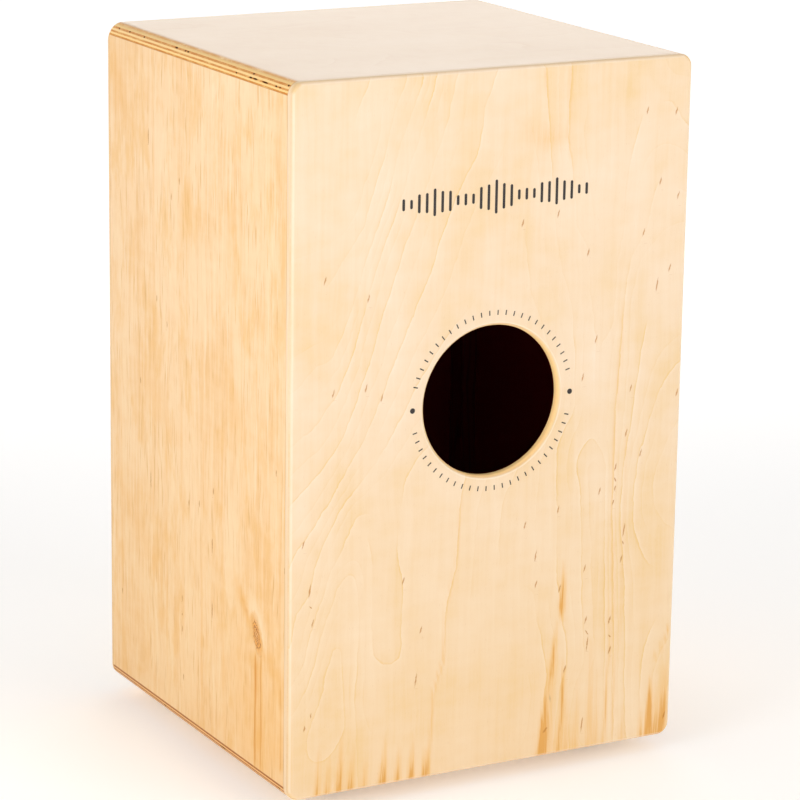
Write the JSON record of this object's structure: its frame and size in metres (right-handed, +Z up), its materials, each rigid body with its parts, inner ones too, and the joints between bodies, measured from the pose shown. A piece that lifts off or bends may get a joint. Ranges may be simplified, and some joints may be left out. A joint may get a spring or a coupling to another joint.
{
  "type": "cajon",
  "caption": "Plywood box drum played on a thin front plate, with a round rear sound hole, rubber feet and a tilting snare bar inside.",
  "frame": {"origin": "centre of the footprint, on the floor under the feet", "axes": "+Z up, -Y out of the playing plate towards the player's hands, +Y out of the rear panel and sound hole, +X to the right of a person looking at the playing plate"},
  "size_m": [0.304, 0.29, 0.5],
  "materials": {
    "birch_plywood": "pale birch plywood, satin lacquer, ply edges showing",
    "birch_plate": "thin birch plywood, satin lacquer",
    "softwood": "planed, unfinished",
    "hardwood": "planed, oiled",
    "blackened_screws": "black zinc",
    "plated_steel": "tinned",
    "zinc_screws": "bright zinc",
    "zinc_plate": "bright zinc, satin",
    "wing_nut_steel": "bright zinc, cast",
    "steel_wire": "bright drawn wire",
    "foot_rubber": "black, matt moulded"
  },
  "bodies": {
    "box": {"top_panel": "birch_plywood", "bottom_panel": "birch_plywood", "side_panel_left": "birch_plywood", "side_panel_right": "birch_plywood", "rear_panel": "birch_plywood", "front_plate": "birch_plate", "front_batten_top": "softwood", "front_batten_bottom": "softwood", "front_batten_left": "softwood", "front_batten_right": "softwood", "front_plate_screws": "blackened_screws", "pivot_block_left": "softwood", "pivot_block_right": "softwood", "pivot_bolt_left": "zinc_plate", "pivot_bolt_right": "zinc_plate", "pivot_washer_left": "zinc_plate", "pivot_washer_right": "zinc_plate", "foot_front_left": "foot_rubber", "foot_front_right": "foot_rubber", "foot_rear_left": "foot_rubber", "foot_rear_right": "foot_rubber", "foot_screws": "zinc_screws", "foot_washers": "zinc_plate"},
    "snare_bar_assembly": {"snare_bar": "hardwood", "snare_strip_left": "plated_steel", "snare_strip_right": "plated_steel", "snare_strip_screws": "zinc_screws", "snare_wires_left": "steel_wire", "snare_wires_right": "steel_wire", "bar_bracket_left": "zinc_plate", "bar_bracket_right": "zinc_plate", "bracket_screws": "zinc_screws"},
    "wing_nut_left": {"wing_nut_left": "wing_nut_steel"},
    "wing_nut_right": {"wing_nut_right": "wing_nut_steel"}
  },
  "joints": [
    {"name": "snare_bar_tilt", "type": "hinge", "parent": "box", "child": "snare_bar_assembly", "pos_m": [0, -0.096, 0.33], "axis": [-1, 0, 0], "range_deg": [0, 15]},
    {"name": "wing_nut_left_turn", "type": "hinge", "parent": "box", "child": "wing_nut_left", "pos_m": [-0.117, -0.096, 0.33], "axis": [-1, 0, 0], "range_deg": [0, 360]},
    {"name": "wing_nut_right_turn", "type": "hinge", "parent": "box", "child": "wing_nut_right", "pos_m": [0.117, -0.096, 0.33], "axis": [1, 0, 0], "range_deg": [0, 360]}
  ]
}
